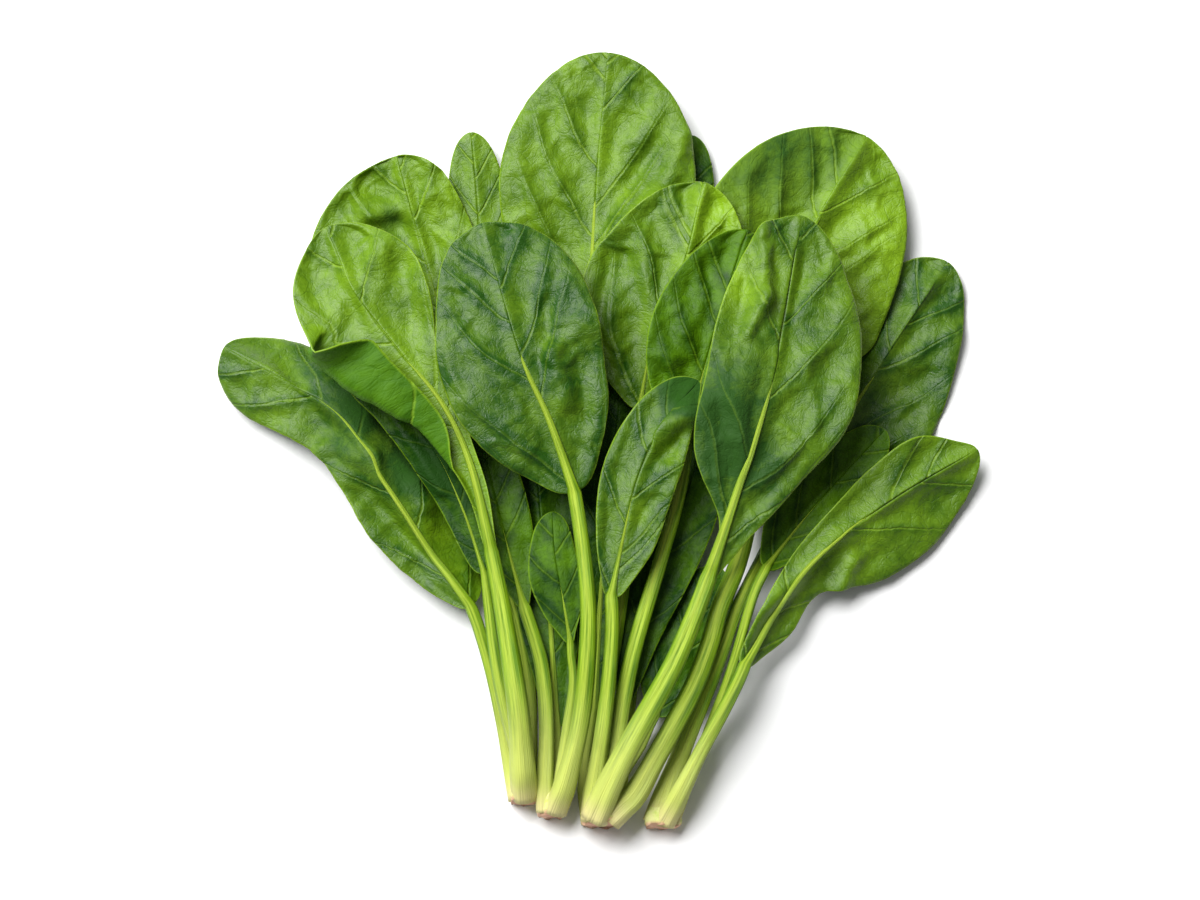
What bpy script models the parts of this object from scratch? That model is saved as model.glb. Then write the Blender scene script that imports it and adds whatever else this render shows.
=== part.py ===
"""Spinach bunch lying on a flat surface: leaf blades, petioles and cut crowns as thin solids.

Blender 4.5, metres, +Z up. +Y runs from the cut crowns to the leaf tips, and the surface that
the bunch lies on is z = 0. The leaves are laid down one after another: each blade is a sheet
that is lifted until it clears everything already lying under it.
"""

from collections import namedtuple
from math import pi

import bmesh
import bpy
import numpy as np

# Driving dimensions
MM = 0.001
BLADE_THICKNESS = 0.8  # mm
CLEARANCE = 0.5  # mm, between a blade or petiole and what lies under it
JOIN_GAP = 0.6  # mm, between a petiole and its blade
LEAN = 0.25  # how far the heap leans toward the crowns for each unit that it rises
ORIGIN_SHIFT = (0.5, 1.7)  # mm, brings the middle of the bunch to the origin
ROWS, COLUMNS = 10, 6  # faces along and across a blade
TIP_CUT = 0.97  # a blade's last row, as a share of the way to its very tip
PETIOLE_POINTS = 11
CROWN_FLARE = 1.2  # how much wider a crown is at its petioles than at its cut face
CELL = 0.5  # mm, cell of the height map that the leaves are laid on
SAMPLE_STEP = 1.0  # mm, between the points where a blade is compared with the map
BLADE_EASING = 6  # rounds of smoothing that spread a lift over a blade
PETIOLE_EASING = 2
REST_REACH = 0.7  # mm, a blade's point this close above the surface lies flat on it
MAP_HALF = 170  # mm, half the side of the height map

# stem and rib are plan points in mm, from the crown to the blade and from its base to its tip.
# left and right are half widths in mm at 7, 25, 50, 75 and 93 per cent of the blade's length.
# stem_z and rib_z are heights in mm, evenly spaced along each. tilt is how far each half rises
# from the midrib in degrees, and droop is how much of that it loses toward its edge. Each of a
# leaf's folds has a start, an end, a rise and a width, and raises the blade along a plan line.
Leaf = namedtuple(
    "Leaf",
    "name material stem stem_r stem_z rib left right rib_z tilt droop folds",
    defaults=((),),
)

LEAVES = (
    Leaf("back_dark", "dark", ((8, -129), (11, -100), (16, -50), (20, 0)), (1.2, 1.8, 1.6),
         (2, 2), ((22, 40), (27, 66), (31, 90), (34, 113)), (4, 9, 11, 9, 5), (4, 9, 12, 10, 6),
         (3, 4, 5), (5, 5), (10, 10)),
    Leaf("small_back", "bright", ((-19, -127), (-21, -80), (-27, -20), (-37, 25)), (1.2, 2, 1.6),
         (2, 2), ((-40, 45), (-43, 68), (-45, 92), (-47, 114)), (4, 9, 11, 10, 6),
         (4, 9, 11, 10, 6), (3, 5, 8), (12, 12), (30, 30)),
    Leaf("back_left", "bright", ((-24.5, -121), (-25, -95), (-29, -70), (-38, -40), (-46, -5)),
         (1.5, 2.6, 2.3, 1.8, 1.6), (2, 2), ((-48, 18), (-58, 48), (-66, 76), (-74, 105)),
         (8, 30, 45, 38, 22), (7, 16, 20, 18, 12), (-2, -2, -2, 7), (0, 0), (0, 0),
         (((-83, 83), (-73, 85), -4, 4), ((-57, 98), (-49, 84), 3, 4))),
    Leaf("back_centre", "bright", ((-11.5, -127), (-10, -80), (-7, -40), (-6, 0)),
         (1.5, 2.2, 1.8), (2, 3), ((-5, 35), (-3, 62), (-1, 100), (3, 144)), (9, 27, 35, 31, 17),
         (8, 27, 36, 32, 19), (6, 8, 14), (20, 20), (40, 40),
         (((2, 74), (21, 88), -4, 4), ((21, 88), (31, 112), -2.5, 4), ((8, 64),
          (30, 82), 3, 6), ((12, 96), (20, 108), 2.5, 6), ((-18, 70), (-12, 60), 2.5, 6))),
    Leaf("low_centre", "dark", ((5, -129), (10, -121), (15, -113), (18, -106)), (1.2, 1.2),
         (2, 3), ((20, -102), (27, -84), (35, -66), (42, -48)), (6, 12, 14, 12, 7),
         (6, 12, 13, 11, 6), (6, 8, 7), (14, 14), (24, 24)),
    Leaf("inner_left", "dark", ((-16.5, -127), (-16, -119), (-15.5, -111)), (1.4, 1.8, 1.8),
         (2, 4), ((-15.5, -106), (-18, -62), (-22, -20), (-23, 12)), (4, 7, 11, 13, 13, 12, 8),
         (4, 7, 11, 13, 13, 12, 8), (5, 8, 8), (14, 14), (24, 24)),
    Leaf("inner_right", "dark", ((1, -129), (4, -116), (7, -104)), (1.2, 1.8, 1.8), (2, 5),
         ((8, -99), (14, -70), (28, -30), (39, 4)), (3, 6, 9, 12, 13, 12, 7),
         (3, 6, 9, 12, 13, 12, 7), (6, 9, 8), (14, 14), (24, 24)),
    Leaf("inner_centre", "dark", ((-6, -129), (-5, -116), (-3, -104)), (1.3, 1.8, 1.8), (2, 4),
         ((-2, -98), (0, -62), (3, -24), (8, 22)), (5, 8, 11, 13, 12), (5, 8, 11, 13, 12),
         (6, 8, 9), (16, 16), (26, 26)),
    Leaf("right_side", "dark", ((23.5, -129), (32, -106), (41, -84), (49, -62), (59, -42)),
         (3.5, 3.2, 2.6, 2.2, 2), (3, 3), ((68, -24), (92, 12), (108, 38), (126, 65)),
         (8, 22, 26, 20, 12), (10, 28, 29, 22, 12), (-1, -4, 3), (14, 8), (16, 22),
         (((84, 6), (118, 56), -2.5, 4), ((100, 8), (116, 20), 2, 6))),
    Leaf("back_right", "bright", ((12.5, -129), (23, -110), (35.5, -85), (42.5, -62), (52, -36)),
         (3.5, 3.7, 3.3, 3, 2.2), (4, 5), ((56, 10), (62, 44), (78, 80), (97, 112)),
         (12, 32, 39, 34, 19), (12, 36, 38, 33, 19), (7, 10, 12), (24, 8), (14, 30),
         (((70, 66), (94, 104), -2.5, 4),)),
    Leaf("right_under", "dark", ((30, -129), (37.5, -109), (46, -86), (54, -59)), (1.6, 1.8),
         (2, 7), ((59, -48), (74, -29), (88, -13), (102, 2)), (6, 12, 13, 11, 7),
         (5, 10, 11, 9, 6), (9, 10, 9), (24, 24), (34, 34)),
    Leaf("stripe_left", "dark", ((-19.5, -127), (-18.8, -105), (-20.5, -84), (-25, -68)),
         (2.4, 2.7, 2.3), (4, 8), ((-27, -62), (-33, -40), (-38, -20), (-44, 5)),
         (4, 9, 11, 10, 6), (4, 9, 11, 10, 6), (10, 12, 12), (26, 26), (40, 40)),
    Leaf("glossy_centre", "dark", ((-2.5, -129), (2, -100), (8, -60), (13, -15)), (1.4, 1.8, 1.6),
         (2, 9), ((14, 10), (20, 40), (30, 64), (37, 94)), (10, 26, 32, 27, 15),
         (6, 15, 20, 20, 12), (13, 18, 22), (26, -4), (36, 10),
         (((4, 60), (6, 66), 3, 7), ((14, 82), (20, 84), 2.5, 6), ((21, 45), (13, 68), -2, 3))),
    Leaf("far_left", "dark", ((-31.5, -121), (-34.5, -105), (-38.5, -86), (-43, -70)),
         (2.2, 2.3, 2.2), (3, 8), ((-46, -62), (-60, -42), (-76, -18), (-96, 10), (-135, 33)),
         (6, 12, 16, 15, 18, 19, 12), (8, 11.5, 14, 15, 16, 13, 7), (11, 17, 10), (2, -32),
         (30, 10),
         (((-98, -4), (-82, -8), -4, 4), ((-100, 22), (-86, 8), -3, 5), ((-110, 22),
          (-94, -6), 3, 6), ((-84, -22), (-62, -46), 3, 6), ((-88, 14), (-62, -24), -3, 5))),
    Leaf("left_under", "dark", ((-27, -121), (-33, -100), (-37, -80), (-39.5, -62)),
         (2.4, 2.6, 2.1, 1.4), (2, 12), ((-41, -50), (-49, -26), (-59, -5), (-72, 11), (-90, 23)),
         (4, 6, 8, 10, 10, 8, 5), (4, 8, 11, 12, 10, 7, 4), (14, 19, 18), (-4, 22), (18, 30),
         (((-56, -20), (-74, 8), -2.5, 2.5),)),
    Leaf("bright_left", "bright", ((-27, -121), (-28.5, -100), (-32, -76), (-35.5, -56)),
         (3.6, 3.9, 3.3, 2.6), (7, 18),
         ((-38.5, -41), (-46, -10), (-56, 12), (-71, 31), (-87, 53), (-98, 77)),
         (2.5, 3.5, 8, 15.5, 23, 21, 10), (2.5, 3.5, 3.5, 8, 22, 24, 14), (22, 29, 27), (4, 18),
         (-6, 10),
         (((-84, 64), (-92, 48), -2.5, 5), ((-70, 62), (-66, 42), 2.5, 6), ((-78, 70),
          (-80, 50), -2, 4))),
    Leaf("mid_right", "bright", ((4.5, -129), (6.8, -105), (12, -78), (20, -50), (28, -22)),
         (2.6, 3, 2.8, 2.5, 2), (5, 15), ((31, -5), (36, 20), (43, 46), (53, 76)),
         (5, 18, 23, 19, 10), (5, 14, 18, 16, 10), (18, 24, 24), (24, 16), (26, 26),
         (((40, 62), (50, 70), 2, 5), ((26, 30), (34, 46), -2.5, 5))),
    Leaf("small_lower", "dark", ((-14.5, -127), (-12, -108), (-9.5, -90), (-10.5, -78)),
         (1.6, 1.7, 1.4), (4, 12), ((-10.5, -75), (-13, -60), (-16, -43), (-17, -28)),
         (3.5, 8, 10.5, 8.5, 5), (2.5, 6, 8, 7, 4.5), (14, 16, 15), (18, 18), (30, 30)),
    Leaf("right_low", "bright", ((28, -129), (35, -115), (43, -100), (49, -88)), (2.9, 2.6, 2.3),
         (3, 9), ((51, -83), (73, -48), (103, -24), (135, -5)), (4, 5, 6, 9, 13.5, 15, 6),
         (4, 9, 10, 22, 23, 17, 8), (11, 13, 9), (10, -10), (0, 20),
         (((60, -62), (84, -36), -3, 3), ((84, -57), (90, -46), -3, 3))),
    Leaf("front_left", "dark", ((-12.5, -127), (-7.7, -108), (-5, -88), (-4, -64), (-6, -40)),
         (3.2, 3.3, 3.1, 2.7, 2.5), (9, 24), ((-9, -20), (-18, 6), (-29, 32), (-42, 78)),
         (12, 26, 30, 24, 15), (11, 22, 30, 29, 18), (27, 36, 34), (20, 22), (40, 44),
         (((-19, 38), (-21, 46), 2.5, 7), ((-12, 12), (-16, 30), -2.5, 4), ((-4, 6),
          (-4, 34), 1.5, 4))),
    Leaf("small_centre", "dark", ((-2.5, -129), (0.5, -110), (3, -90), (4.3, -70)),
         (2.7, 2.9, 2.6, 2.4), (6, 18), ((4, -58), (8, -38), (13, -16), (22, 4), (35, 20)),
         (5, 10, 13, 12, 8), (6, 12, 14, 12, 5), (22, 28, 28), (22, 22), (34, 34),
         (((22, 0), (31, 8), -5, 3.5), ((20, -6), (27, 2), 2, 5))),
    Leaf("front_right", "bright", ((2, -129), (10, -112), (24.5, -85), (33, -65)),
         (3.7, 4, 3.8, 3.4, 3), (10, 25), ((38.5, -50), (49, -18), (61, 22), (72, 81)),
         (1.2, 3, 19.5, 23, 24, 20, 12), (5, 11, 21, 31, 29, 20, 10), (26, 34, 30), (36, 12),
         (50, 36),
         (((49, 68), (46, 46), 4.5, 8), ((58, 78), (59, 52), -3, 3), ((59, 52),
          (53, 38), -3, 3), ((52, 26), (48, -6), -3, 7), ((72, 66), (66, 34), 2, 3.5))),
)

# Each crown: plan middle of its cut face in mm, its half width and half height there, and where
# its petioles start.
Crown = namedtuple("Crown", "name x y half_width half_height end")

CROWNS = (
    Crown("crown_left", -27, -132, 4.8, 5, -123),
    Crown("crown_mid_left", -16.5, -138, 4.3, 5.2, -129),
    Crown("crown_centre", 1, -141, 6.2, 6.2, -131),
    Crown("crown_right", 22, -141, 6, 5.2, -131),
)

# Name: base colour, roughness
MATERIALS = {
    "dark": ((0.085, 0.175, 0.022), 0.42),
    "bright": ((0.20, 0.36, 0.07), 0.45),
    "petiole": ((0.42, 0.58, 0.10), 0.40),
    "crown": ((0.56, 0.42, 0.27), 0.70),
}


# Curves


def through(values, t):
    """The smooth curve through evenly spaced values, read at t, where 0 is the first value."""
    known = np.asarray(values, float)
    known = np.concatenate([[2 * known[0] - known[1]], known, [2 * known[-1] - known[-2]]])
    place = np.clip(t, 0, 1) * (len(values) - 1)
    index = np.minimum(place.astype(int), len(values) - 2)
    part = place - index
    if known.ndim > 1:
        part = part[:, None]
    a, b, c, d = (known[index + k] for k in range(4))
    bend = (2 * a - 5 * b + 4 * c - d) * part**2 + (3 * b - a - 3 * c + d) * part**3
    return 0.5 * (2 * b + (c - a) * part + bend)


def evenly(points, t):
    """Plan points on the smooth curve through points, at the shares t of its length."""
    fine = np.linspace(0, 1, 200)
    line = through(points, fine)
    run = np.concatenate([[0], np.cumsum(np.hypot(*np.diff(line, axis=0).T))])
    return np.column_stack([np.interp(t, run / run[-1], line[:, k]) for k in (0, 1)])


def side_of(line, t):
    """Unit vectors pointing left of a plan curve at t."""
    step = 0.01
    along = evenly(line, np.clip(t + step, 0, 1)) - evenly(line, np.clip(t - step, 0, 1))
    along /= np.hypot(along[:, 0], along[:, 1])[:, None]
    return np.column_stack([-along[:, 1], along[:, 0]])


# The heap


class Heap:
    """The height of everything laid down so far, over a grid of square cells in plan."""

    def __init__(self):
        cells = int(2 * MAP_HALF / CELL)
        self.top = np.full((cells, cells), -CLEARANCE)

    def cell(self, points):
        index = ((points[..., :2] + MAP_HALF) / CELL).astype(int)
        return np.clip(index, 1, len(self.top) - 2)

    def under(self, points):
        """The highest thing in the cells around each point."""
        index = self.cell(points)
        steps = (-1, 0, 1)
        near = [self.top[index[..., 0] + i, index[..., 1] + j] for i in steps for j in steps]
        return np.max(near, axis=0)

    def add(self, points, height):
        index = self.cell(points)
        np.maximum.at(self.top, (index[..., 0], index[..., 1]), height)


def samples_of(corners, spacing):
    """Points spread over triangles, (triangles, points, 3), no further apart than spacing."""
    sides = np.linalg.norm(corners - np.roll(corners, 1, axis=1), axis=2)
    parts = int(np.ceil(sides.max() / spacing))
    share = [(i, j, parts - i - j) for i in range(parts + 1) for j in range(parts + 1 - i)]
    return np.einsum("sk,tkd->tsd", np.array(share) / parts, corners)


def upright_half(corners):
    """Half of a blade's thickness measured straight up, for each triangle."""
    normal = np.cross(corners[:, 1] - corners[:, 0], corners[:, 2] - corners[:, 0])
    level = np.abs(normal[:, 2]) / np.maximum(np.linalg.norm(normal, axis=1), 1e-9)
    return BLADE_THICKNESS / 2 / np.maximum(level, 0.4)


def eased(lift, rounds):
    """Smooths a lift, given over a grid or along a line, without lowering it anywhere."""
    smooth = lift.copy()
    for _ in range(rounds):
        wide = np.pad(smooth, 1, mode="edge")
        if lift.ndim == 1:
            mean = (wide[:-2] + wide[2:]) / 2
        else:
            mean = (wide[:-2, 1:-1] + wide[2:, 1:-1] + wide[1:-1, :-2] + wide[1:-1, 2:]) / 4
        smooth = np.maximum(lift, mean)
    return smooth


# Blades


def cross_section(tilt, droop, share):
    """Reach sideways and rise of half a blade at shares of its half width, both per unit of reach."""
    steps = np.linspace(0, 1, 60)
    angle = np.radians(tilt - droop * steps)
    reach = np.concatenate([[0], np.cumsum(np.cos(angle[1:]))])
    rise = np.concatenate([[0], np.cumsum(np.sin(angle[1:]))])
    return np.interp(share, steps, reach / reach[-1]), np.interp(share, steps, rise / reach[-1])


def from_segment(points, start, end):
    """Distances from plan points to the straight line between two of them."""
    start, along = np.array(start, float), np.subtract(end, start)
    part = np.clip((points - start) @ along / max(along @ along, 1e-6), 0, 1)
    return np.hypot(*(points - start - part[:, None] * along).T)


def blade_points(leaf, turn, across):
    """Plan places and heights on a blade. turn runs from 0 at its base to 1 at its tip."""
    t = (1 - np.cos(turn * pi)) / 2
    place = evenly(leaf.rib, t)
    height = through(leaf.rib_z, t)
    side = side_of(leaf.rib, t)
    for sign, widths, tilt, droop in (
        (1, leaf.left, leaf.tilt[0], leaf.droop[0]),
        (-1, leaf.right, leaf.tilt[1], leaf.droop[1]),
    ):
        on = across * sign > 0
        half = through((leaf.stem_r[-1],) + widths + (0,), turn)
        reach, rise = cross_section(tilt, droop, np.abs(across))
        place = place + (on * sign * half * reach)[:, None] * side
        height = height + on * half * rise
    for start, end, rise, width in leaf.folds:
        height = height + rise * np.exp(-((from_segment(place, start, end) / width) ** 2))
    return np.column_stack([place, height])


def blade_sheet(leaf):
    """The blade as an open triangulated grid, with each vertex's turn and place across."""
    sheet = bmesh.new()
    bmesh.ops.create_grid(sheet, x_segments=ROWS, y_segments=COLUMNS, size=1)
    bmesh.ops.triangulate(sheet, faces=sheet.faces, quad_method="FIXED")
    flat = np.array([vertex.co[:] for vertex in sheet.verts])
    turn = (flat[:, 0] + 1) / 2 * TIP_CUT
    return sheet, turn, flat[:, 1], blade_points(leaf, turn, flat[:, 1])


def blade_lift(heap, points, triangles):
    """How far each vertex has to rise for the blade to clear the heap."""
    corners = points[triangles]
    samples = samples_of(corners, SAMPLE_STEP)
    floor = samples[..., 2] - upright_half(corners)[:, None]
    need = (heap.under(samples) + CLEARANCE - floor).max(axis=1)
    lift = np.zeros(len(points))
    for corner in range(3):
        np.maximum.at(lift, triangles[:, corner], need)
    return lift


def rest_on_surface(heap, points):
    """Flattens a blade where it all but touches the surface, with nothing lying under it."""
    low = points[:, 2] < BLADE_THICKNESS / 2 + REST_REACH
    points[low & (heap.under(points) < 0), 2] = BLADE_THICKNESS / 2


def lay_blade(heap, points, triangles):
    corners = points[triangles]
    samples = samples_of(corners, SAMPLE_STEP)
    heap.add(samples, samples[..., 2] + upright_half(corners)[:, None])


# Petioles


def petiole_line(leaf):
    """Plan places, heights and radii along a petiole, from its crown to its blade."""
    t = np.linspace(0, 1, PETIOLE_POINTS)
    end = np.array(leaf.rib[0], float)
    inward = end - np.array(leaf.stem[-1], float)
    end -= inward / np.hypot(*inward) * JOIN_GAP
    place = evenly(leaf.stem + (tuple(end),), t)
    height = through(leaf.stem_z + (leaf.rib_z[0],), t)
    return place, height, through(leaf.stem_r, t)


def round_samples(place, height, radius):
    """Points over the upper half of a petiole, with how far each is above its middle."""
    fine = np.linspace(0, 1, 160)
    known = np.linspace(0, 1, len(place))
    line = np.column_stack([np.interp(fine, known, place[:, k]) for k in (0, 1)])
    wide = np.interp(fine, known, radius)
    side = np.gradient(line, axis=0)
    side = np.column_stack([-side[:, 1], side[:, 0]]) / np.hypot(*side.T)[:, None]
    across = np.linspace(-1, 1, 11)
    points = line[:, None] + across[None, :, None] * wide[:, None, None] * side[:, None]
    rise = wide[:, None] * np.sqrt(1 - across**2)[None]
    return points, np.interp(fine, known, height)[:, None] + 0 * rise, rise, fine


def petiole_lift(heap, place, height, radius):
    points, middle, rise, fine = round_samples(place, height, radius)
    need = (heap.under(points) + CLEARANCE + rise - middle).max(axis=1)
    lift = np.zeros(len(place))
    known = np.linspace(0, 1, len(place))
    after = np.clip(np.searchsorted(known, fine), 1, len(known) - 1)
    np.maximum.at(lift, after, need)
    np.maximum.at(lift, after - 1, need)
    return lift


def lay_petiole(heap, place, height, radius):
    points, middle, rise, _ = round_samples(place, height, radius)
    heap.add(points, middle + rise)


# Objects


def material(name):
    made = bpy.data.materials.get(name)
    if made is None:
        colour, roughness = MATERIALS[name]
        made = bpy.data.materials.new(name)
        made.use_nodes = True
        shader = made.node_tree.nodes["Principled BSDF"]
        shader.inputs["Base Color"].default_value = (*colour, 1)
        shader.inputs["Roughness"].default_value = roughness
        shader.inputs["Metallic"].default_value = 0
    return made


def placed(points):
    """Points of the heap, in mm, as places in the part's frame, in metres."""
    x = points[:, 0] + ORIGIN_SHIFT[0]
    y = points[:, 1] - LEAN * points[:, 2] + ORIGIN_SHIFT[1]
    return np.column_stack([x, y, points[:, 2]]) * MM


def add_object(collection, name, data, slot):
    data.materials.append(material(slot))
    made = bpy.data.objects.new(name, data)
    collection.objects.link(made)
    return made


def add_blade(collection, leaf, sheet, points):
    for vertex, place in zip(sheet.verts, placed(points)):
        vertex.co = place
    mesh = bpy.data.meshes.new("blade_" + leaf.name)
    sheet.to_mesh(mesh)
    sheet.free()
    blade = add_object(collection, mesh.name, mesh, leaf.material)
    mesh.shade_smooth()
    solid = blade.modifiers.new("thickness", "SOLIDIFY")
    solid.thickness = BLADE_THICKNESS * MM
    solid.offset = 0


def add_petiole(collection, leaf, points, radius):
    curve = bpy.data.curves.new("stem_" + leaf.name, "CURVE")
    curve.dimensions = "3D"
    curve.bevel_depth = MM
    curve.bevel_resolution = 2
    curve.use_fill_caps = True
    spline = curve.splines.new("POLY")
    spline.points.add(len(points) - 1)
    for point, place, wide in zip(spline.points, placed(points), radius):
        point.co = (*place, 1)
        point.radius = wide
    add_object(collection, curve.name, curve, "petiole")


def lay_leaf(collection, heap, leaf):
    """Lays one leaf on the heap: its blade and its petiole rise together where they meet."""
    sheet, turn, across, points = blade_sheet(leaf)
    triangles = np.array([[v.index for v in face.verts] for face in sheet.faces])
    order = np.lexsort((across, turn)).reshape(ROWS + 1, COLUMNS + 1)
    lift = blade_lift(heap, points, triangles)[order]
    place, height, radius = petiole_line(leaf)
    stem_lift = petiole_lift(heap, place, height, radius)
    stem_lift[-1] = max(stem_lift[-1], eased(lift, BLADE_EASING)[0].max())
    stem_lift = eased(stem_lift, PETIOLE_EASING)
    lift[0] = np.maximum(lift[0], stem_lift[-1])
    points[order, 2] += eased(lift, BLADE_EASING)
    rest_on_surface(heap, points)
    height = height + stem_lift
    lay_blade(heap, points, triangles)
    lay_petiole(heap, place, height, radius)
    add_blade(collection, leaf, sheet, points)
    add_petiole(collection, leaf, np.column_stack([place, height]), radius)


def add_crown(collection, crown):
    """A short cut base, narrowest at its cut face and lying on the surface."""
    shape = bmesh.new()
    length = crown.end - crown.y
    bmesh.ops.create_cone(shape, cap_ends=True, segments=12, radius1=CROWN_FLARE, radius2=1, depth=length)
    for vertex in shape.verts:
        x, up, along = vertex.co
        height = max(crown.half_height * (1 + up), 0)
        point = (crown.x + crown.half_width * x, crown.y + length / 2 - along, height)
        vertex.co = placed(np.array([point]))[0]
    mesh = bpy.data.meshes.new(crown.name)
    shape.to_mesh(mesh)
    shape.free()
    add_object(collection, crown.name, mesh, "crown")


def clear_scene():
    for old in list(bpy.data.objects):
        bpy.data.objects.remove(old)


def main():
    clear_scene()
    bunch = bpy.data.collections.new("spinach_bunch")
    bpy.context.scene.collection.children.link(bunch)
    heap = Heap()
    for leaf in LEAVES:
        lay_leaf(bunch, heap, leaf)
    for crown in CROWNS:
        add_crown(bunch, crown)


main()
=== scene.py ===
"""Looks of a spinach bunch that lies on a pale surface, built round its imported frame.

+Y runs from the cut crowns to the leaf tips. Every leaf is laid on the heap again as in the
frame, as a fine sheet with its veins, puckers and curled edges, on a ribbed petiole that runs
on into the midrib.
"""

from collections import namedtuple
from math import cos, pi, radians, sin

import bpy
import numpy as np
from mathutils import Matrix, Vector, noise


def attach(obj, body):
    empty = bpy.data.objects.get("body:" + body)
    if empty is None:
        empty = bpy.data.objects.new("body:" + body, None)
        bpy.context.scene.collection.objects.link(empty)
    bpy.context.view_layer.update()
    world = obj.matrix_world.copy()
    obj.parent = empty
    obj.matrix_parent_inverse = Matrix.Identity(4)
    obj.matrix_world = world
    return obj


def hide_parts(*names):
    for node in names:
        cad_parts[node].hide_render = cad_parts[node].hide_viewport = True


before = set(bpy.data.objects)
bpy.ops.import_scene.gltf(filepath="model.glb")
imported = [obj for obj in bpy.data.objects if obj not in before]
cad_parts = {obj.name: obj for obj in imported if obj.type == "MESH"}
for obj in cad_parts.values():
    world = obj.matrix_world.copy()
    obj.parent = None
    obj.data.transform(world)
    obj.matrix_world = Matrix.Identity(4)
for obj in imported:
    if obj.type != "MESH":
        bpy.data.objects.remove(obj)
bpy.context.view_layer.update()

MM = 0.001
LEAN = 0.25  # how far the heap leans toward the crowns for each unit that it rises
ORIGIN_SHIFT = (0.5, 1.7)  # mm, from plan points to the frame's origin
CLEARANCE = 0.5  # mm between a blade or petiole and what lies under it
BLADE_THICKNESS = 0.5  # mm
MIDRIB_RISE = 1.2  # mm, room kept for the midrib on a blade
CELL = 0.5  # mm, cell of the height map that the leaves are laid on
MAP_HALF = 170  # mm, half the side of the height map
SPREAD_ROWS, SPREAD_COLUMNS = 12, 8  # cells over which a lift is spread on a blade
SPREAD_ROUNDS = 6
CURL_SETTLES = 0.5  # how far a margin turned right over sinks under its own weight
FOLD_START = 0.38  # where a curled margin starts, as a share of the half width
STEM_SIDES = 32
STEM_RINGS = 190
PETIOLE_STEPS = 70  # steps of a petiole's line before it runs on into the midrib
LONG_RIB = 95  # mm, ribs longer than this keep a thick midrib further up the blade

# Plan points in mm. stem runs from the crown to the blade, rib from the blade's base to its tip,
# and left and right are half widths at even steps along the blade. stem_z and rib_z are heights,
# tilt is how far each half rises from the rib in degrees, droop is how much of that it loses
# toward its edge, and curl is how far its margin turns over between the shares of the blade in
# curl_run, where it begins, is full, is still full and ends. tone goes from 0, deep green, to 1,
# fresh yellow-green, and pucker is how strongly the blade is quilted. Each of folds is a ridge or
# hollow between two points, with its height and width. Each of shades is painted
# shade or a painted highlight, a change of tone where the leaf lies in shade or catches the light,
# partly its own deeper or fresher green, with its middle, radius and change of tone. matt
# is for the duller leaves low in the bunch, whose greens are also painted darker as shade there.
Leaf = namedtuple(
    "Leaf",
    "name slot stem stem_r stem_z rib left right rib_z tilt droop curl tone pucker folds curl_run"
    " shades matt",
    defaults=((), (0.05, 0.25, 0.5, 0.72), (), False),
)

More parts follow.
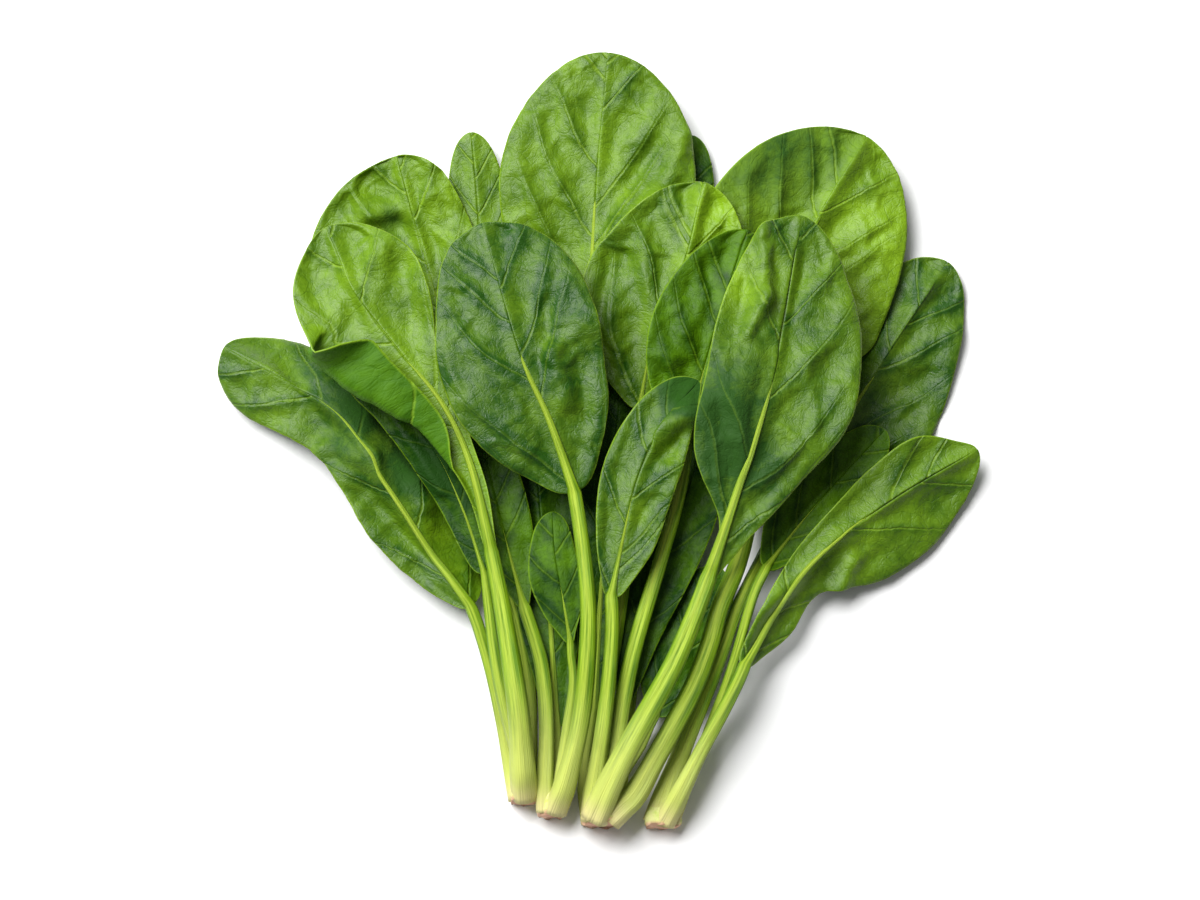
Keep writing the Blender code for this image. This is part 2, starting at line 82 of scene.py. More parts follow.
LEAVES = (
    Leaf("back_dark", "leaf_dark", ((8, -129), (11, -100), (16, -50), (20, 0)), (1.2, 1.8, 1.6),
         (2, 2), ((22, 40), (27, 66), (31, 90), (34, 113)), (4, 9, 11, 9, 5), (4, 9, 12, 10, 6),
         (3, 4, 5), (5, 5), (10, 10), (0, 0), 0.1, 0.8, matt=True),
    Leaf("small_back", "leaf_bright", ((-19, -127), (-21, -80), (-27, -20), (-37, 25)),
         (1.2, 2, 1.6), (2, 2), ((-40, 45), (-43, 68), (-45, 92), (-47, 114)), (4, 9, 11, 10, 6),
         (4, 9, 11, 10, 6), (3, 5, 8), (12, 12), (30, 30), (0, 0), 0.45, 0.8),
    Leaf("back_left", "leaf_bright",
         ((-24.5, -121), (-25, -95), (-29, -70), (-38, -40), (-46, -5)), (1.5, 2.6, 2.3, 1.8, 1.6),
         (2, 2), ((-48, 18), (-58, 48), (-66, 76), (-74, 105)), (8, 30, 45, 38, 22),
         (7, 16, 20, 18, 12), (-2, -2, -2, 7), (0, 0), (0, 0), (0, 0), 0.5, 1.2,
         (((-83, 83), (-73, 85), -4, 4), ((-57, 98), (-49, 84), 3, 4)),
         shades=(((-76, 82), 4, -0.4), ((-53, 92), 7, 0.3))),
    Leaf("back_centre", "leaf_bright", ((-11.5, -127), (-10, -80), (-7, -40), (-6, 0)),
         (1.5, 2.2, 1.8), (2, 3), ((-5, 35), (-3, 62), (-1, 100), (3, 144)), (9, 27, 35, 31, 17),
         (8, 27, 36, 32, 19), (6, 8, 14), (20, 20), (40, 40), (0, 0), 0.45, 1.0,
         (((2, 74), (21, 88), -4, 4), ((21, 88), (31, 112), -2.5, 4), ((8, 64), (30, 82), 3, 6),
          ((12, 96), (20, 108), 2.5, 6), ((-18, 70), (-12, 60), 2.5, 6))),
    Leaf("low_centre", "leaf_dark", ((5, -129), (10, -121), (15, -113), (18, -106)), (1.2, 1.2),
         (2, 3), ((20, -102), (27, -84), (35, -66), (42, -48)), (6, 12, 14, 12, 7),
         (6, 12, 13, 11, 6), (6, 8, 7), (14, 14), (24, 24), (0, 0), 0.15, 0.9, matt=True),
    Leaf("inner_left", "leaf_dark", ((-16.5, -127), (-16, -119), (-15.5, -111)), (1.4, 1.8, 1.8),
         (2, 4), ((-15.5, -106), (-18, -62), (-22, -20), (-23, 12)), (4, 7, 11, 13, 13, 12, 8),
         (4, 7, 11, 13, 13, 12, 8), (5, 8, 8), (14, 14), (24, 24), (0, 0), 0.15, 1.0, matt=True),
    Leaf("inner_right", "leaf_dark", ((1, -129), (4, -116), (7, -104)), (1.2, 1.8, 1.8), (2, 5),
         ((8, -99), (14, -70), (28, -30), (39, 4)), (3, 6, 9, 12, 13, 12, 7),
         (3, 6, 9, 12, 13, 12, 7), (6, 9, 8), (14, 14), (24, 24), (0, 0), 0.15, 1.0, matt=True),
    Leaf("inner_centre", "leaf_dark", ((-6, -129), (-5, -116), (-3, -104)), (1.3, 1.8, 1.8),
         (2, 4), ((-2, -98), (0, -62), (3, -24), (8, 22)), (5, 8, 11, 13, 12), (5, 8, 11, 13, 12),
         (6, 8, 9), (16, 16), (26, 26), (0, 0), 0.1, 1.0, matt=True),
    Leaf("right_side", "leaf_dark", ((23.5, -129), (32, -106), (41, -84), (49, -62), (59, -42)),
         (3.5, 3.2, 2.6, 2.2, 2), (3, 3), ((68, -24), (92, 12), (108, 38), (126, 65)),
         (8, 22, 26, 20, 12), (10, 28, 29, 22, 12), (-1, -4, 3), (14, 8), (16, 22), (0, 0), 0.2,
         0.9, (((84, 6), (118, 56), -2.5, 4), ((100, 8), (116, 20), 2, 6))),
    Leaf("back_right", "leaf_bright",
         ((12.5, -129), (23, -110), (35.5, -85), (42.5, -62), (52, -36)), (3.5, 3.7, 3.3, 3, 2.2),
         (4, 5), ((56, 10), (62, 44), (78, 80), (97, 112)), (12, 32, 39, 34, 19),
         (12, 36, 38, 33, 19), (7, 10, 12), (24, 8), (14, 30), (0, 0), 0.62, 0.9,
         (((70, 66), (94, 104), -2.5, 4),),
         shades=(((60, 104), 20, -0.4), ((84, 112), 14, -0.25), ((104, 78), 20, 0.25))),
    Leaf("right_under", "leaf_dark", ((30, -129), (37.5, -109), (46, -86), (54, -59)), (1.6, 1.8),
         (2, 7), ((59, -48), (74, -29), (88, -13), (102, 2)), (6, 12, 13, 11, 7),
         (5, 10, 11, 9, 6), (9, 10, 9), (24, 24), (34, 34), (0, 0), 0.35, 1.0, matt=True),
    Leaf("stripe_left", "leaf_dark", ((-19.5, -127), (-18.8, -105), (-20.5, -84), (-25, -68)),
         (2.4, 2.7, 2.3), (4, 8), ((-27, -62), (-33, -40), (-38, -20), (-44, 5)),
         (4, 9, 11, 10, 6), (4, 9, 11, 10, 6), (10, 12, 12), (26, 26), (40, 40), (0, 0), 0.3, 0.7,
         matt=True),
    Leaf("glossy_centre", "leaf_dark", ((-2.5, -129), (2, -100), (8, -60), (13, -15)),
         (1.4, 1.8, 1.6), (2, 9), ((14, 10), (20, 40), (30, 64), (37, 94)), (10, 26, 32, 27, 15),
         (6, 15, 20, 20, 12), (13, 18, 22), (26, -4), (36, 10), (0, 0), 0.35, 1.2,
         (((4, 60), (6, 66), 3, 7), ((14, 82), (20, 84), 2.5, 6), ((21, 45), (13, 68), -2, 3)),
         shades=(((46, 84), 12, 0.7), ((36, 64), 9, 0.5))),
    Leaf("far_left", "leaf_dark", ((-31.5, -121), (-34.5, -105), (-38.5, -86), (-43, -70)),
         (2.2, 2.3, 2.2), (3, 8), ((-46, -62), (-60, -42), (-76, -18), (-96, 10), (-135, 33)),
         (6, 12, 16, 15, 18, 19, 12), (8, 11.5, 14, 15, 16, 13, 7), (11, 17, 10), (2, -32),
         (30, 10), (0, 0), 0.3, 0.9,
         (((-98, -4), (-82, -8), -4, 4), ((-100, 22), (-86, 8), -3, 5),
          ((-110, 22), (-94, -6), 3, 6), ((-84, -22), (-62, -46), 3, 6),
          ((-88, 14), (-62, -24), -3, 5)),
         shades=(((-84, 12), 12, -0.6), ((-68, -10), 10, -0.6), ((-92, -6), 6, -0.2))),
    Leaf("left_under", "leaf_dark", ((-27, -121), (-33, -100), (-37, -80), (-39.5, -62)),
         (2.4, 2.6, 2.1, 1.4), (2, 12), ((-41, -50), (-49, -26), (-59, -5), (-72, 11), (-90, 23)),
         (4, 6, 8, 10, 10, 8, 5), (4, 8, 11, 12, 10, 7, 4), (14, 19, 18), (-4, 22), (18, 30),
         (0, 0), 0.12, 0.8, (((-56, -20), (-74, 8), -2.5, 2.5),), shades=(((-52, -12), 13, -0.3),),
         matt=True),
    Leaf("bright_left", "leaf_bright", ((-27, -121), (-28.5, -100), (-32, -76), (-35.5, -56)),
         (3.6, 3.9, 3.3, 2.6), (7, 18),
         ((-38.5, -41), (-46, -10), (-56, 12), (-71, 31), (-87, 53), (-98, 77)),
         (2.5, 3.5, 8, 15.5, 23, 21, 10), (2.5, 3.5, 3.5, 8, 22, 24, 14), (22, 29, 27), (4, 18),
         (-6, 10), (150, 0), 0.48, 1.0,
         (((-84, 64), (-92, 48), -2.5, 5), ((-70, 62), (-66, 42), 2.5, 6),
          ((-78, 70), (-80, 50), -2, 4)), (0.06, 0.4, 0.66, 0.8)),
    Leaf("mid_right", "leaf_bright", ((4.5, -129), (6.8, -105), (12, -78), (20, -50), (28, -22)),
         (2.6, 3, 2.8, 2.5, 2), (5, 15), ((31, -5), (36, 20), (43, 46), (53, 76)),
         (5, 18, 23, 19, 10), (5, 14, 18, 16, 10), (18, 24, 24), (24, 16), (26, 26), (0, 0), 0.36,
         1.2, (((40, 62), (50, 70), 2, 5), ((26, 30), (34, 46), -2.5, 5)), matt=True),
    Leaf("small_lower", "leaf_dark", ((-14.5, -127), (-12, -108), (-9.5, -90), (-10.5, -78)),
         (1.6, 1.7, 1.4), (4, 12), ((-10.5, -75), (-13, -60), (-16, -43), (-17, -28)),
         (3.5, 8, 10.5, 8.5, 5), (2.5, 6, 8, 7, 4.5), (14, 16, 15), (18, 18), (30, 30), (0, 0),
         0.36, 1.0, shades=(((-15, -45), 30, -0.1), ((-14, -60), 12, -0.1)), matt=True),
    Leaf("right_low", "leaf_bright", ((28, -129), (35, -115), (43, -100), (49, -88)),
         (2.9, 2.6, 2.3), (3, 9), ((51, -83), (73, -48), (103, -24), (135, -5)),
         (4, 5, 6, 9, 13.5, 15, 6), (4, 9, 10, 22, 23, 17, 8), (11, 13, 9), (10, -10), (0, 20),
         (0, 0), 0.4, 0.7, (((60, -62), (84, -36), -3, 3), ((84, -57), (90, -46), -3, 3))),
    Leaf("front_left", "leaf_dark", ((-12.5, -127), (-7.7, -108), (-5, -88), (-4, -64), (-6, -40)),
         (3.2, 3.3, 3.1, 2.7, 2.5), (9, 24), ((-9, -20), (-18, 6), (-29, 32), (-42, 78)),
         (12, 26, 30, 24, 15), (11, 22, 30, 29, 18), (27, 36, 34), (20, 22), (40, 44), (0, 0),
         0.15, 1.0,
         (((-19, 38), (-21, 46), 2.5, 7), ((-12, 12), (-16, 30), -2.5, 4),
          ((-4, 6), (-4, 34), 1.5, 4))),
    Leaf("small_centre", "leaf_dark", ((-2.5, -129), (0.5, -110), (3, -90), (4.3, -70)),
         (2.7, 2.9, 2.6, 2.4), (6, 18), ((4, -58), (8, -38), (13, -16), (22, 4), (35, 20)),
         (5, 10, 13, 12, 8), (6, 12, 14, 12, 5), (22, 28, 28), (22, 22), (34, 34), (0, 0), 0.25,
         1.1, (((22, 0), (31, 8), -5, 3.5), ((20, -6), (27, 2), 2, 5)),
         shades=(((32, 17), 9, -0.9),)),
    Leaf("front_right", "leaf_bright", ((2, -129), (10, -112), (24.5, -85), (33, -65)),
         (3.7, 4, 3.8, 3.4, 3), (10, 25), ((38.5, -50), (49, -18), (61, 22), (72, 81)),
         (1.2, 3, 19.5, 23, 24, 20, 12), (5, 11, 21, 31, 29, 20, 10), (26, 34, 30), (36, 12),
         (50, 36), (0, 0), 0.3, 1.1,
         (((49, 68), (46, 46), 4.5, 8), ((58, 78), (59, 52), -3, 3), ((59, 52), (53, 38), -3, 3),
          ((52, 26), (48, -6), -3, 7), ((72, 66), (66, 34), 2, 3.5)),
         shades=(((44, 12), 16, -0.36), ((48, -12), 14, -0.36), ((47, 58), 12, 0.45))),
)


# Curves


def through(values, t):
    """The smooth curve through evenly spaced values, read at t, where 0 is the first value."""
    known = np.asarray(values, float)
    known = np.concatenate([[2 * known[0] - known[1]], known, [2 * known[-1] - known[-2]]])
    place = np.clip(t, 0, 1) * (len(values) - 1)
    index = np.minimum(place.astype(int), len(values) - 2)
    part = place - index
    if known.ndim > 1:
        part = part[:, None]
    a, b, c, d = (known[index + k] for k in range(4))
    bend = (2 * a - 5 * b + 4 * c - d) * part**2 + (3 * b - a - 3 * c + d) * part**3
    return 0.5 * (2 * b + (c - a) * part + bend)


def evenly(points, t):
    """Plan points on the smooth curve through points, at the shares t of its length."""
    fine = np.linspace(0, 1, 400)
    line = through(points, fine)
    run = np.concatenate([[0], np.cumsum(np.hypot(*np.diff(line, axis=0).T))])
    return np.column_stack([np.interp(t, run / run[-1], line[:, k]) for k in (0, 1)])


def length_of(points):
    return np.hypot(*np.diff(through(points, np.linspace(0, 1, 400)), axis=0).T).sum()


def side_of(line, t):
    """Unit vectors pointing left of a plan curve at t."""
    step = 0.02
    along = evenly(line, np.clip(t + step, 0, 1)) - evenly(line, np.clip(t - step, 0, 1))
    along /= np.hypot(along[:, 0], along[:, 1])[:, None]
    return np.column_stack([-along[:, 1], along[:, 0]])


def smooth_step(low, high, x):
    part = np.clip((x - low) / (high - low), 0, 1)
    return part * part * (3 - 2 * part)


# The heap


class Heap:
    """The height of everything laid down so far, over a grid of square cells in plan."""

    def __init__(self):
        cells = int(2 * MAP_HALF / CELL)
        self.top = np.full((cells, cells), -CLEARANCE)

    def cell(self, points):
        index = ((points[..., :2] + MAP_HALF) / CELL).astype(int)
        return np.clip(index, 1, len(self.top) - 2)

    def under(self, points):
        """The highest thing in the cells around each point."""
        index = self.cell(points)
        steps = (-1, 0, 1)
        near = [self.top[index[..., 0] + i, index[..., 1] + j] for i in steps for j in steps]
        return np.max(near, axis=0)

    def add(self, points, height):
        index = self.cell(points)
        np.maximum.at(self.top, (index[..., 0], index[..., 1]), height)


def widened(grid):
    return np.pad(grid, 1, mode="edge")


def eased(lift, rounds):
    """Smooths a lift, given over a grid or along a line, without lowering it anywhere."""
    smooth = lift.copy()
    for _ in range(rounds):
        wide = widened(smooth)
        if lift.ndim == 1:
            mean = (wide[:-2] + wide[2:]) / 2
        else:
            mean = (wide[:-2, 1:-1] + wide[2:, 1:-1] + wide[1:-1, :-2] + wide[1:-1, 2:]) / 4
        smooth = np.maximum(lift, mean)
    return smooth


def spread_lift(need, base_lift):
    """A smooth lift for a fine grid that is nowhere less than need, and base_lift at its base."""
    rows, columns = need.shape
    row = np.linspace(0, SPREAD_ROWS, rows)
    column = np.linspace(0, SPREAD_COLUMNS, columns)
    coarse = np.zeros((SPREAD_ROWS + 1, SPREAD_COLUMNS + 1))
    for i in (0, 1):
        for j in (0, 1):
            at = np.minimum(row.astype(int) + i, SPREAD_ROWS)
            vein_shade = np.minimum(column.astype(int) + j, SPREAD_COLUMNS)
            np.maximum.at(coarse, (at[:, None], vein_shade[None]), need)
    coarse[0] = np.maximum(coarse[0], base_lift)
    coarse = eased(np.maximum(coarse, 0), SPREAD_ROUNDS)
    wide = np.array([np.interp(column, np.arange(SPREAD_COLUMNS + 1), line) for line in coarse])
    lift = np.array([np.interp(row, np.arange(SPREAD_ROWS + 1), line) for line in wide.T]).T
    return np.maximum(softened(lift, rows // SPREAD_ROWS, columns // SPREAD_COLUMNS), need)


def softened(grid, rows, columns):
    """A running mean over about one spreading cell each way."""
    for reach, axis in ((rows // 2, 0), (columns // 2, 1)):
        total = np.zeros_like(grid)
        for step in range(-reach, reach + 1):
            index = np.clip(np.arange(grid.shape[axis]) + step, 0, grid.shape[axis] - 1)
            total += np.take(grid, index, axis)
        grid = total / (2 * reach + 1)
    return grid


# The shape of a blade


def half_profile(tilt, droop, curl, share):
    """Sideways reach and rise of half a blade for rows of curl, at shares of its arc."""
    steps = np.linspace(0, 1, 80)
    turn = smooth_step(FOLD_START, 0.5 + FOLD_START / 2, steps)
    angle = np.radians(tilt - droop * steps[None] + curl[:, None] * turn[None])
    zero = np.zeros((len(curl), 1))
    reach = np.concatenate([zero, np.cumsum(np.cos(angle[:, 1:]), axis=1)], axis=1)
    rise = np.concatenate([zero, np.cumsum(np.sin(angle[:, 1:]), axis=1)], axis=1)
    full = reach.max(axis=1)
    reach_at = [np.interp(share, steps, line / whole) for line, whole in zip(reach, full)]
    rise_at = [np.interp(share, steps, line / whole) for line, whole in zip(rise, full)]
    return np.array(reach_at), np.array(rise_at)


def blade_grid(leaf, turn, across):
    """Plan places and heights over a blade's grid, and each place's distances in the blade."""
    t = (1 - np.cos(turn * pi)) / 2
    rows, columns = len(turn), len(across)
    side = side_of(leaf.rib, t)
    points = np.zeros((rows, columns, 3))
    points[..., :2] = evenly(leaf.rib, t)[:, None]
    points[..., 2] = through(leaf.rib_z, t)[:, None]
    half = np.zeros((rows, columns))
    for sign, widths, k in ((1, leaf.left, 0), (-1, leaf.right, 1)):
        on = np.nonzero(across * sign > 0)[0]
        width = through((leaf.stem_r[-1] * 0.8,) + widths + (0,), turn)
        on_from, full_from, full_to, off_from = leaf.curl_run
        curl = leaf.curl[k] * smooth_step(on_from, full_from, t)
        curl = curl * (1 - smooth_step(full_to, off_from, t))
        reach, rise = half_profile(leaf.tilt[k], leaf.droop[k], curl, np.abs(across[on]))
        points[:, on, :2] += (sign * width[:, None] * reach)[..., None] * side[:, None]
        flatter = 1 - CURL_SETTLES * curl / 180
        points[:, on, 2] += (width * flatter)[:, None] * rise
        half[:, on] = width[:, None]
    along = np.broadcast_to((t * length_of(leaf.rib))[:, None], half.shape)
    return points, along, across[None] * half, half


def normals_of(points):
    """Unit normals over a grid of points, pointing up from the blade's face."""
    down_rows = np.gradient(points, axis=0)
    across = np.gradient(points, axis=1)
    normal = np.cross(across, down_rows)
    return normal / np.maximum(np.linalg.norm(normal, axis=2), 1e-9)[..., None]


def noise_over(along, across, size, seed):
    """Smooth noise from -1 to 1 over a blade, with features about size mm wide."""
    flat = zip((along / size).ravel(), (across / size).ravel())
    values = [noise.noise(Vector((x, y, seed))) for x, y in flat]
    return np.array(values).reshape(along.shape)


def quilt_over(along, across, size, seed):
    """Distance in mm from the seams of a net of irregular cells about size mm wide."""
    flat = zip((along / size).ravel(), (across / size).ravel())
    values = []
    for x, y in flat:
        near = noise.voronoi(Vector((x, y, seed)))[0]
        values.append((near[1] - near[0]) * size)
    return np.array(values).reshape(along.shape)


def vein_starts(leaf, side):
    """Where the side veins leave the rib, in mm along it, from below the base to past the tip."""
    length = length_of(leaf.rib)
    count = 4 if length > 60 else 3
    shares = np.arange(-3, count + 2) / count
    jitter = [noise.noise(Vector((k * 3.1, side * 5, length))) for k in range(len(shares))]
    return length * (shares + 0.2 * np.array(jitter) + 0.05 + 0.04 * side)


def vein_phase(leaf, along, across, seed):
    """A number that is halfway between two whole ones along each side vein, and the spacing."""
    out = np.abs(across)
    start = along - 1.2 * out - 0.022 * out**2
    start = start + 6 * noise_over(along, across, 24, seed) * np.minimum(1, out / 12)
    phase = np.zeros(along.shape)
    spacing = np.zeros(along.shape)
    for side in (-1, 1):
        starts = vein_starts(leaf, side)
        on = across * side >= 0
        phase[on] = np.interp(start[on], starts, np.arange(len(starts)) + 0.5)
        gaps = np.diff(starts)
        spacing[on] = np.interp(start[on], (starts[1:] + starts[:-1]) / 2, gaps)
    return phase, spacing * 0.66


def from_vein(phase, spacing):
    """Distance in mm from the nearest side vein."""
    return np.abs(phase - np.floor(phase) - 0.5) * spacing


def from_segment(points, start, end):
    """Plan distance from points to the straight line between two plan points."""
    start, along = np.array(start, float), np.subtract(end, start)
    part = ((points[..., :2] - start) @ along) / max(along @ along, 1e-6)
    nearest = start + np.clip(part, 0, 1)[..., None] * along
    return np.hypot(*np.moveaxis(points[..., :2] - nearest, -1, 0))


def folded(leaf, points):
    """How far the leaf's own folds and bulges raise it: start, end, height and width of each."""
    height = np.zeros(points.shape[:2])
    for start, end, rise, width in leaf.folds:
        height += rise * np.exp(-((from_segment(points, start, end) / width) ** 2))
    return height


def tone_with_painted_light(leaf, points):
    """The blade's tone, with patches of painted shade and painted highlight: middle, radius and
    change.
    """
    tone = np.full(points.shape[:2], float(leaf.tone))
    for middle, radius, change in leaf.shades:
        tone += change * np.exp(-((from_segment(points, middle, middle) / radius) ** 2))
    return tone


def warped(along, across, seed):
    """Blade distances shifted about by slow noise, so that what is drawn from them wanders."""
    return (
        along + 3.2 * noise_over(along, across, 11, seed + 21),
        across + 3.2 * noise_over(along, across, 11, seed + 33),
    )


def relief(leaf, along, across, half, t, seed):
    """How far the blade stands out from its plain sheet: pillows between sunken veins."""
    vein = from_vein(*vein_phase(leaf, along, across, seed))
    out = np.abs(across)
    share = out / np.maximum(half, 0.1)
    inside = 1 - smooth_step(0.6, 0.9, share)
    margin = 1 - smooth_step(0.82, 1, share)
    quilt = quilt_over(*warped(along, across, seed), 15, seed + 3)
    fine = quilt_over(*warped(along, across, seed + 2), 5, seed + 8)
    height = 1.3 * (1 - np.exp(-((vein / 4.5) ** 2))) * (0.2 + 0.8 * inside)
    height += 0.6 * (1 - np.exp(-((vein / 0.9) ** 2))) * (0.1 + 0.9 * inside)
    height += 0.9 * (1 - np.exp(-((quilt / 3.2) ** 2))) * (0.35 + 0.65 * margin)
    height += 0.24 * (1 - np.exp(-((fine / 0.9) ** 2)))
    height += 1.7 * noise_over(along, across, 23, seed + 5)
    height += 0.35 * noise_over(along, across, 8, seed)
    small = np.minimum(1, half / 14)
    calm = 1 - np.exp(-((out / 3.2) ** 2))
    groove = 0.9 * np.exp(-((out / 1.8) ** 2)) * smooth_step(0.25, 0.7, t)[:, None]
    return (leaf.pucker * height * calm - groove) * small


def edge_wave(along, across, half, seed):
    """Slow ripples that grow toward the margin."""
    out = np.abs(across) / np.maximum(half, 0.1)
    slow = noise_over(along, np.sign(across) * 40, 17, seed + 11)
    return 3.0 * slow * out**3 * np.minimum(1, half / 14)


# Building a blade


def deselect():
    bpy.ops.object.select_all(action="DESELECT")


def put_in_place(points):
    """Points of the heap, in mm, as places in the frame, in metres."""
    placed = np.array(points, float)
    placed[..., 1] -= LEAN * placed[..., 2]
    placed[..., 0] += ORIGIN_SHIFT[0]
    placed[..., 1] += ORIGIN_SHIFT[1]
    return placed * MM


def grid_sheet(name, rows, columns):
    """A grid primitive, and the order that sorts its vertices by row and then by column."""
    deselect()
    bpy.ops.mesh.primitive_grid_add(x_subdivisions=rows, y_subdivisions=columns, size=2)
    sheet = bpy.context.object
    sheet.name = sheet.data.name = name
    flat = np.empty(len(sheet.data.vertices) * 3)
    sheet.data.vertices.foreach_get("co", flat)
    flat = flat.reshape(-1, 3).round(5)
    order = np.lexsort((flat[:, 1], flat[:, 0])).reshape(rows + 1, columns + 1)
    return sheet, order


def set_places(piece, order, points):
    flat = np.empty((order.size, 3))
    flat[order.ravel()] = put_in_place(points).reshape(-1, 3)
    piece.data.vertices.foreach_set("co", flat.ravel())
    piece.data.update()


def add_attribute(piece, name, order, values):
    made = piece.data.attributes.new(name, "FLOAT", "POINT")
    flat = np.empty(order.size, np.float32)
    flat[order.ravel()] = np.broadcast_to(values, order.shape).ravel()
    made.data.foreach_set("value", flat)


def add_blade_map(piece, order, along, across):
    """A UV map in units of 100 mm along and across the blade."""
    flat = np.empty((order.size, 2))
    flat[order.ravel()] = np.stack([along, across], axis=-1).reshape(-1, 2) / 100
    corner = np.empty(len(piece.data.loops), int)
    piece.data.loops.foreach_get("vertex_index", corner)
    piece.data.uv_layers[0].data.foreach_set("uv", flat[corner].ravel())


def thicken(piece):
    solid = piece.modifiers.new("thickness", "SOLIDIFY")
    solid.thickness = BLADE_THICKNESS * MM
    solid.offset = 0
    solid.material_offset = 1
    bpy.context.view_layer.objects.active = piece
    bpy.ops.object.modifier_apply(modifier=solid.name)


def blade_size(leaf):
    """Grid rows and columns for faces well under a millimetre."""
    rows = int(np.clip(length_of(leaf.rib) / 0.72, 50, 150))
    columns = int(np.clip((max(leaf.left) + max(leaf.right)) / 0.72, 30, 92))
    return rows, columns // 2 * 2


def shape_leaf(leaf, heap, seed):
    """The blade's grid of points over the heap, and the petiole's lifted line."""
    rows, columns = blade_size(leaf)
    turn = np.linspace(0, 0.994, rows + 1)
    place = np.linspace(-1, 1, columns + 1)
    across_share = np.sign(place) * np.abs(place) ** 1.25
    points, along, across, half = blade_grid(leaf, turn, across_share)
    normal = normals_of(points)
    points[..., 2] += edge_wave(along, across, half, seed)
    share = (1 - np.cos(turn * pi)) / 2
    stand = relief(leaf, along, across, half, share, seed) + folded(leaf, points)
    points = points + normal * stand[..., None]
    level = np.maximum(np.abs(normals_of(points)[..., 2]), 0.4)
    upright = BLADE_THICKNESS / 2 / level
    need = heap.under(points) + CLEARANCE + upright - points[..., 2]
    line, height, radius = petiole_line(leaf)
    stem_lift = petiole_lift(heap, line, height, radius)
    stem_lift[-1] = max(stem_lift[-1], spread_lift(need, 0)[0].max())
    stem_lift = eased(stem_lift, 2)
    points[..., 2] += spread_lift(need, stem_lift[-1])
    near_rib = np.exp(-((across / 5) ** 2))
    points[..., 2] += near_rib * (softened(points[..., 2], 12, 1) - points[..., 2])
    height = height + stem_lift
    heap.add(points, points[..., 2] + upright)
    middle = columns // 2
    on_midrib = points[: rows * 2 // 3, middle - 2 : middle + 3]
    heap.add(on_midrib, on_midrib[..., 2] + MIDRIB_RISE)
    lay_petiole(heap, line, height, radius)
    return points, along, across, half, np.column_stack([line, height])


def make_blade(leaf, points, along, across, half, seed):
    rows, columns = np.array(points.shape[:2]) - 1
    blade, order = grid_sheet("leaf_" + leaf.name, rows, columns)
    set_places(blade, order, points)
    add_blade_map(blade, order, along, across)
    phase, spacing = vein_phase(leaf, along, across, seed)
    add_attribute(blade, "vein_phase", order, phase)
    add_attribute(blade, "vein_spacing", order, spacing)
    add_attribute(blade, "from_rib", order, np.abs(across))
    add_attribute(blade, "from_edge", order, np.minimum(half - np.abs(across), 99))
    # The tone attribute carries the patches of painted shade and painted highlight; dull makes the
    # painted shade rougher.
    tone = tone_with_painted_light(leaf, points)
    add_attribute(blade, "tone", order, tone)
    add_attribute(blade, "dull", order, np.clip(leaf.tone - tone, 0, 0.5))
    # Leaves low in the bunch take the matt finish, whose greens are painted darker as shade.
    blade.data.materials.append(leaf_matt_in_shade if leaf.matt else leaf_face)
    blade.data.materials.append(leaf_back_shaded)
    thicken(blade)
    blade.data.shade_smooth()
    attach(blade, "root")
    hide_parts("blade_" + leaf.name)
    return blade


# Petioles


def petiole_line(leaf):
    """Plan places, heights and radii along a petiole, from its crown to its blade."""
    t = np.linspace(0, 1, 11)
    place = evenly(leaf.stem + (leaf.rib[0],), t)
    height = through(leaf.stem_z + (leaf.rib_z[0],), t)
    return place, height, through(leaf.stem_r, t)


def round_samples(place, height, radius):
    """Points over the upper half of a petiole, with how far each is above its middle."""
    fine = np.linspace(0, 1, 200)
    known = np.linspace(0, 1, len(place))
    line = np.column_stack([np.interp(fine, known, place[:, k]) for k in (0, 1)])
    wide = np.interp(fine, known, radius)
    side = np.gradient(line, axis=0)
    side = np.column_stack([-side[:, 1], side[:, 0]]) / np.hypot(*side.T)[:, None]
    across = np.linspace(-1, 1, 15)
    points = line[:, None] + across[None, :, None] * wide[:, None, None] * side[:, None]
    rise = wide[:, None] * np.sqrt(1 - across**2)[None]
    return points, np.interp(fine, known, height)[:, None] + 0 * rise, rise, fine


def petiole_lift(heap, place, height, radius):
    points, middle, rise, fine = round_samples(place, height, radius)
    need = (heap.under(points) + CLEARANCE + rise - middle).max(axis=1)
    lift = np.zeros(len(place))
    after = np.clip(np.searchsorted(np.linspace(0, 1, len(place)), fine), 1, len(place) - 1)
    np.maximum.at(lift, after, need)
    np.maximum.at(lift, after - 1, need)
    return lift


def lay_petiole(heap, place, height, radius):
    points, middle, rise, _ = round_samples(place, height, radius)
    heap.add(points, middle + rise)


def tube_rings(name, rings):
    """A capped cylinder primitive cut into rings along its length, standing on end."""
    deselect()
    bpy.ops.mesh.primitive_cylinder_add(vertices=STEM_SIDES, radius=1, depth=2)
    tube = bpy.context.object
    tube.name = tube.data.name = name
    bpy.ops.object.mode_set(mode="EDIT")
    bpy.ops.mesh.select_mode(type="EDGE")
    bpy.ops.mesh.select_all(action="DESELECT")
    bpy.ops.object.mode_set(mode="OBJECT")
    for edge in tube.data.edges:
        a, b = (tube.data.vertices[k].co.z for k in edge.vertices)
        edge.select = abs(a - b) > 1
    bpy.ops.object.mode_set(mode="EDIT")
    bpy.ops.mesh.subdivide(number_cuts=rings)
    bpy.ops.object.mode_set(mode="OBJECT")
    return tube


